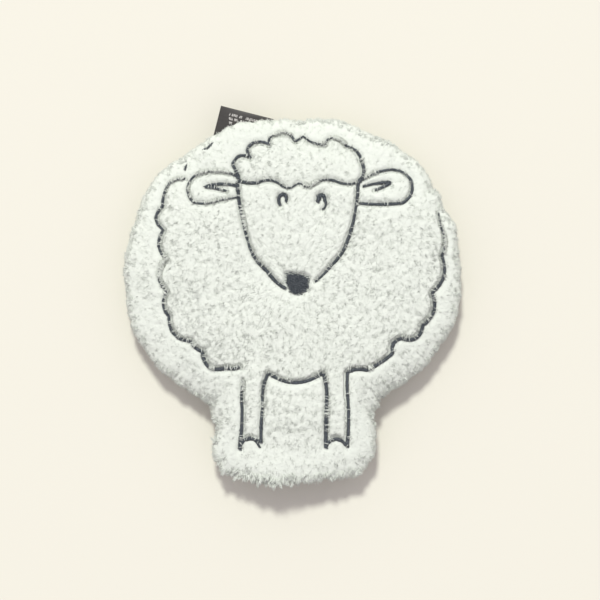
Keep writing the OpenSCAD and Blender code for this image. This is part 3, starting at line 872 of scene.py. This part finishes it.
def strip(centre, half, z, thick):
    """A flat closed ribbon along a line in plan: four points a station, capped by its own end quads."""
    d = unit(np.gradient(centre, axis=0))
    side = np.stack([-d[:, 1], d[:, 0]], -1) * half[:, None]
    corners = [(-1, z - thick), (1, z - thick), (1, z), (-1, z)]
    ring = np.stack([np.column_stack([centre + side * way, h]) for way, h in corners], 1)
    n = len(centre)
    ends = [[3, 2, 1, 0], [4 * n - 4, 4 * n - 3, 4 * n - 2, 4 * n - 1]]
    return ring.reshape(-1, 3), np.vstack([grid_quads(n, 4, wrap_cols=True), ends])


def even(points, step):
    """A line read again at even steps."""
    d = travelled(np.linalg.norm(np.diff(points[:, :2], axis=0), axis=1))
    at = np.arange(step / 2, d[-1], step)
    return np.stack([np.interp(at, d, points[:, i]) for i in range(3)], -1)


def nearness(e, places):
    """Squared distance of every point to every place, in units of the place's own reach."""
    return ((e[:, None, :2] - places[:, :2]) ** 2).sum(-1) / places[:, 2] ** 2


THREAD_LIFT = 1.0  # how far the thread lies above the bottom of its groove
# the run over the head lies this much deeper, more on its right half, and its underlay deeper again
TOP_DROP, TOP_DROP_RIGHT, TOP_UNDERLAY_DROP = 1.6, 1.2, 1.5


def embroider(name, lines, rng):
    """One run of satin stitch: short slanted stitches side by side over a flat underlay, both following
    the bottom of the groove."""
    at, way, length, base_v, base_q = [], [], [], [], []
    over_head = name == "stitched_fleece_top"
    for l in lines:
        e = even(l, 0.46)
        x, y = e[:, 0], e[:, 1]
        d = turned(unit(np.gradient(e[:, :2], axis=0)), np.radians(62 + rng.normal(0, 7, len(e))))
        way.append(np.column_stack([d, np.zeros(len(e))]))
        z = front_surface(e[:, :2])
        heavy = (np.exp(-nearness(e, HEAVY) ** 2) * np.minimum(HEAVY[:, 3] / 3, 1)).max(-1)
        z = z - heavy * (1.2 + 0.7 * plain_noise(x, y, 2.2, 53))
        z = z - 1.8 * np.clip(plain_noise(x, y, 3.0, 54) - 0.5, 0, 1)
        if over_head:
            z = z - TOP_DROP - TOP_DROP_RIGHT * np.clip(x / 10, 0, 1) \
                + 2.3 * np.exp(-nearness(e, GLIMPSES)).max(-1)
        wave = 1 + 0.2 * plain_noise(x, y, 2.2, 51) + 0.12 * plain_noise(x, y, 0.9, 52)
        at.append(np.stack([x, y, z + THREAD_LIFT], -1) + rng.normal(0, 0.09, (len(e), 3)))
        length.append(e[:, 2] * wave * rng.uniform(0.92, 1.12, len(e)) + 0.35)
        e = even(l, 1.2)
        if len(e) > 2:
            drop = TOP_UNDERLAY_DROP if over_head else 0.02
            v, q = strip(e[:, :2], e[:, 2] * 0.4, front_surface(e[:, :2]) + THREAD_LIFT - drop, 0.5)
            base_q.append(q + sum(map(len, base_v)))
            base_v.append(v)
    at, way, length = np.vstack(at), np.vstack(way), np.concatenate(length)
    obj = stitches(name, at, way, np.tile([0, 0, 1.0], (len(at), 1)), length,
                   rng.uniform(0.42, 0.56, len(at)), 0.1 + 0.06 * length,
                   base=(np.vstack(base_v), np.vstack(base_q)))
    SLATE_M.on(obj)
    return obj


rng = np.random.default_rng(77)
for node, lines in LINES.items():
    embroider("stitched_" + node, lines, rng)
    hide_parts(node)


def fill_nose(rng):
    """Rows of satin stitch across the nose, staggered from row to row, over a flat base."""
    lean = np.radians(-14)
    d, s = np.array([np.cos(lean), np.sin(lean)]), np.array([-np.sin(lean), np.cos(lean)])
    mid, underlay = NOSE.mean(0), 0.8
    rows, cols = np.meshgrid(np.arange(-11, 11, 0.44), np.arange(-12, 12, 2.3), indexing="ij")
    cols = cols + (np.arange(len(rows)) % 3)[:, None] * 0.77 + rng.normal(0, 0.25, rows.shape)
    p = mid + rows.ravel()[:, None] * s + cols.ravel()[:, None] * d
    ragged = p + rng.normal(0, 0.45, p.shape)
    p = p[inside(NOSE, ragged[:, 0], ragged[:, 1])]
    n = len(p)
    z = front_surface(p) + THREAD_LIFT + 0.35 + rng.normal(0, 0.14, n)
    way = np.tile([d[0], d[1], 0.0], (n, 1)) + rng.normal(0, 0.07, (n, 3))
    edge = mid + (outline_points(NOSE, 1.5) - mid) * 0.9
    k = len(edge)
    hub = mid + (edge - mid) * 0.02
    high = front_surface(mid[None])[0] + THREAD_LIFT
    loops = [(hub, high - underlay), (edge, high - underlay), (edge, high), (hub, high)]
    v = np.vstack([np.column_stack([loop, np.full(k, height)]) for loop, height in loops])
    q = grid_quads(4, k, wrap_rows=True, wrap_cols=True)
    turn_left = np.sum(edge[:, 0] * np.roll(edge[:, 1], -1) - np.roll(edge[:, 0], -1) * edge[:, 1]) > 0
    obj = stitches("stitched_nose", np.concatenate([p, z[:, None]], -1), way, np.tile([0, 0, 1.0], (n, 1)),
                   rng.uniform(1.6, 2.6, n), rng.uniform(0.5, 0.66, n), rng.uniform(0.1, 0.4, n), dive=0.3,
                   base=(v, q if turn_left else flip(q)))
    SLATE_M.on(obj)
    return obj


fill_nose(rng)
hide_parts("nose")


def falling_pile(rng):
    """Strands that lie over the embroidery: from the upper side of a line, across it, to the lower."""
    grown = []
    for key, lines in LINES.items():
        for l in lines:
            e = even(l, 0.5)
            d = unit(np.gradient(e[:, :2], axis=0))
            s = np.stack([-d[:, 1], d[:, 0]], -1)
            s *= np.where(s @ np.array([0.5, 0.85]) > 0, 1, -1)[:, None]
            patchy = plain_noise(e[:, 0], e[:, 1], 5.0, 61) * 0.5 + 0.5
            many = np.where(patchy < COVERED.get(key, COVERED_ELSEWHERE) * 1.3, 1.3, 0.13) \
                + (np.exp(-nearness(e, HEAVY) ** 2) * HEAVY[:, 3]).sum(-1)
            k = rng.poisson(many * (0 if key in ("eye_left", "eye_right", "fleece_top") else 1))
            i = np.repeat(np.arange(len(e)), k)
            n = len(i)
            if not n:
                continue
            half = e[i, 2] / 2
            from_ = e[i, :2] + s[i] * (half + rng.uniform(0.8, 2.4, n))[:, None]
            to = e[i, :2] - s[i] * (half * rng.uniform(-0.2, 1.2, n) + rng.uniform(0, 1.6, n))[:, None] \
                + d[i] * rng.normal(0, 1.4, n)[:, None]
            z_from = front_surface(from_) - 0.6
            z_to = front_surface(to) + rng.uniform(1.5, 2.6, n)
            root = np.column_stack([from_, z_from])
            tip = np.column_stack([to, z_to])
            mid = root * 0.5 + tip * 0.5
            mid[:, 2] = np.maximum(z_from, z_to) + rng.uniform(1.2, 2.2, n)
            grown.append((root, mid, tip, rng.uniform(0.35, 0.65, n)))
    root, mid, tip, width = (np.concatenate(v) for v in zip(*grown))
    obj = tufts("pile_over_embroidery", root, mid, tip, width, rng.normal(0, 0.3, len(root)))
    PILE_M.on(obj)
    return obj


falling = falling_pile(np.random.default_rng(5))


# ---------------------------------------------------------------- hand opening and edge seam
def mouth_places(n, end=0.985):
    """n places along the hand opening, evenly spaced in x, out to that share of its half width."""
    x = np.linspace(-1, 1, n) * MOUTH * end
    a = np.linspace(-112, -68, 3000)
    return np.interp(x, edge_radius(a) * np.cos(np.radians(a)), a)


def make_binding():
    """A loop of tape lining the hand opening: a rounded flat section carried round the lens-shaped
    opening, front half out and back half home."""
    places, around, thick = 70, 16, 0.9
    a = mouth_places(places)
    w = np.arange(around) * 2 * np.pi / around
    inset = 6.1 + 5.9 * np.sign(np.cos(w)) * np.abs(np.cos(w)) ** 0.35
    v = 0.5 - 0.5 * np.sign(np.sin(w)) * np.abs(np.sin(w)) ** 0.6
    a, inset = np.meshgrid(np.concatenate([a, a[::-1]]), inset, indexing="ij")
    s = np.repeat([-1.0, 1.0], places)[:, None]
    # at its corners the tape is pressed thin between the panels, so the sides there are kept just apart
    z = SEAM + s * np.maximum(mouth_rise(a) - 0.16 - v * thick, 0.042 - v * 0.03)
    pts = np.concatenate([edge_point(a, inset), z[..., None]], -1).reshape(-1, 3)
    obj = solid("mouth_tape", pts, flip(grid_quads(2 * places, around, True, True)))
    TAPE_M.on(obj)
    return obj


def line_of_stitches(places, inset, lift, s, pitch, rng, thick=0.45):
    """Running stitches along a curve at that inset: middle, direction, length and thickness of each."""
    z = SEAM + s * (mouth_rise(places) - lift)
    q = np.column_stack([edge_point(places, inset), z])
    d = travelled(np.linalg.norm(np.diff(q, axis=0), axis=1))
    at = np.arange(pitch, d[-1] - pitch / 2, pitch)
    c, ahead = (np.stack([np.interp(at + step, d, q[:, i]) for i in range(3)], -1) for step in (0, 0.2))
    return c, unit(ahead - c), np.full(len(c), pitch * 0.78), rng.uniform(0.9, 1.1, len(c)) * thick


rng = np.random.default_rng(9)
tape = make_binding()
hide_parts("mouth_binding")
rows = [line_of_stitches(mouth_places(200, 0.86), 8.7, 1.1, s, 3.0, rng) for s in (1, -1)]
down = np.repeat([[0, 0, -1.0], [0, 0, 1.0]], [len(row[0]) for row in rows], 0)
at, way, length, thick = (np.concatenate(v) for v in zip(*rows))
hem_stitches = stitches("mouth_stitches", at, way, down, length, thick, np.full(len(at), 0.12), dive=0.25)
PALE_THREAD_M.on(hem_stitches)
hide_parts("mouth_stitching")

at, way, length, thick = line_of_stitches(np.linspace(-70.5, 250.5, 3000), 9.4, 0.0, 0, 2.9, rng, 0.6)
seam = stitches("edge_seam_stitches", at, way, np.tile([0, 0, 1.0], (len(at), 1)), length * 1.2, thick,
                np.full(len(at), 0.08), dive=0.1)
PALE_THREAD_M.on(seam)
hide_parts("side_seam")


# ---------------------------------------------------------------- ribbon label
def make_label():
    """A folded ribbon: a flattened loop in section, from its slanted root at the seam out to the fold,
    a little fuller towards the fold, with a slight curl of its outer corners."""
    places, around = 60, 40
    inset = PILE - 0.35 - 0.5
    n = outward(np.array([LABEL_AT]))[0]
    beside = np.array([n[1], -n[0]])
    c = edge_point(np.array([LABEL_AT]), inset)[0]
    lean = np.radians(LABEL_LEAN)
    wide = beside * np.cos(lean) - n * np.sin(lean)
    far = beside * np.sin(lean) + n * np.cos(lean)
    s = np.linspace(-LABEL_HALF, LABEL_HALF, places)[:, None]
    w = (np.arange(around) * 2 * np.pi / around)[None, :]
    q = 0.5 - 0.5 * np.sign(np.cos(w)) * np.abs(np.cos(w)) ** 0.8
    root = s * np.tan(lean)
    reach = root + (LABEL_REACH - root) * q
    full = 0.3 + 0.42 * np.clip(q * 1.15, 0, 1) ** 2
    z = np.sign(np.sin(w)) * np.abs(np.sin(w)) ** 0.45 * full
    curl = 0.9 * (np.abs(s) / LABEL_HALF) ** 3 * q ** 2 * np.where(s < 0, 1, -0.4) \
        + 0.25 * np.sin(s / 6.5) * q
    p = c + wide * s[..., None] + far * reach[..., None]
    v = np.concatenate([p, (SEAM + z + curl)[..., None]], -1)
    caps, v, last = v[[0, -1]].mean(1), v.reshape(-1, 3), (places - 1) * around
    j = np.arange(around)
    k = (j + 1) % around
    tris = np.concatenate([np.stack([np.full(around, len(v)), j, k], -1),
                           np.stack([np.full(around, len(v) + 1), last + k, last + j], -1)])
    uv = np.stack([np.broadcast_to(s, reach.shape), LABEL_REACH - reach], -1).reshape(-1, 2)
    obj = solid("care_ribbon", np.vstack([v, caps]), flip(grid_quads(places, around, wrap_cols=True)), tris,
                uv=np.vstack([uv, uv[[0, -1]]]), body="label")
    LABEL_M.on(obj)
    return obj


label = make_label()
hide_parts("care_label")

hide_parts("front_panel")
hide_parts("back_panel")
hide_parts("front_wadding")
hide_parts("back_wadding")
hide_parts("front_lining")
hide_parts("back_lining")

# ---------------------------------------------------------------- surface, light and camera
surface_finish = Finish("pale_surface", rough=0.95, specular=0.0)
surface_finish.colour(surface_finish.blend(surface_finish.noise(3, 2), (0.672, 0.651, 0.577),
                                           (0.677, 0.656, 0.584)))
FAR = 6000  # half the width of the surface
floor = solid("surface", [[-FAR, -FAR, 0], [FAR, -FAR, 0], [FAR, FAR, 0], [-FAR, FAR, 0]],
              [[0, 1, 2, 3]], smooth=False, body=None)
surface_finish.on(floor)

world = bpy.context.scene.world or bpy.data.worlds.new("studio")
bpy.context.scene.world = world
world.use_nodes = True
back = world.node_tree.nodes["Background"]
back.inputs["Color"].default_value = (0.98, 0.93, 0.99, 1)
back.inputs["Strength"].default_value = 0.705

# one high soft light from beyond the head, a little to the left; places here are in metres
lamp = bpy.data.lights.new("key", "AREA")
lamp.shape = "DISK"
lamp.size = 2.4
lamp.energy = 2020
lamp.color = (0.97, 1.0, 0.93)
light = bpy.data.objects.new("key", lamp)
light.location = (-1.25, 8.6, 12.3)
light.rotation_euler = (-light.location).to_track_quat("-Z", "Y").to_euler()
bpy.context.scene.collection.objects.link(light)

cam = bpy.data.cameras.new("camera")
cam.lens, cam.sensor_width = 128.6, 36.0
eye = bpy.data.objects.new("camera", cam)
eye.location = (0.00525, -0.0175, 1.5177)
bpy.context.scene.collection.objects.link(eye)
bpy.context.scene.camera = eye
bpy.context.scene.view_settings.view_transform = "Standard"
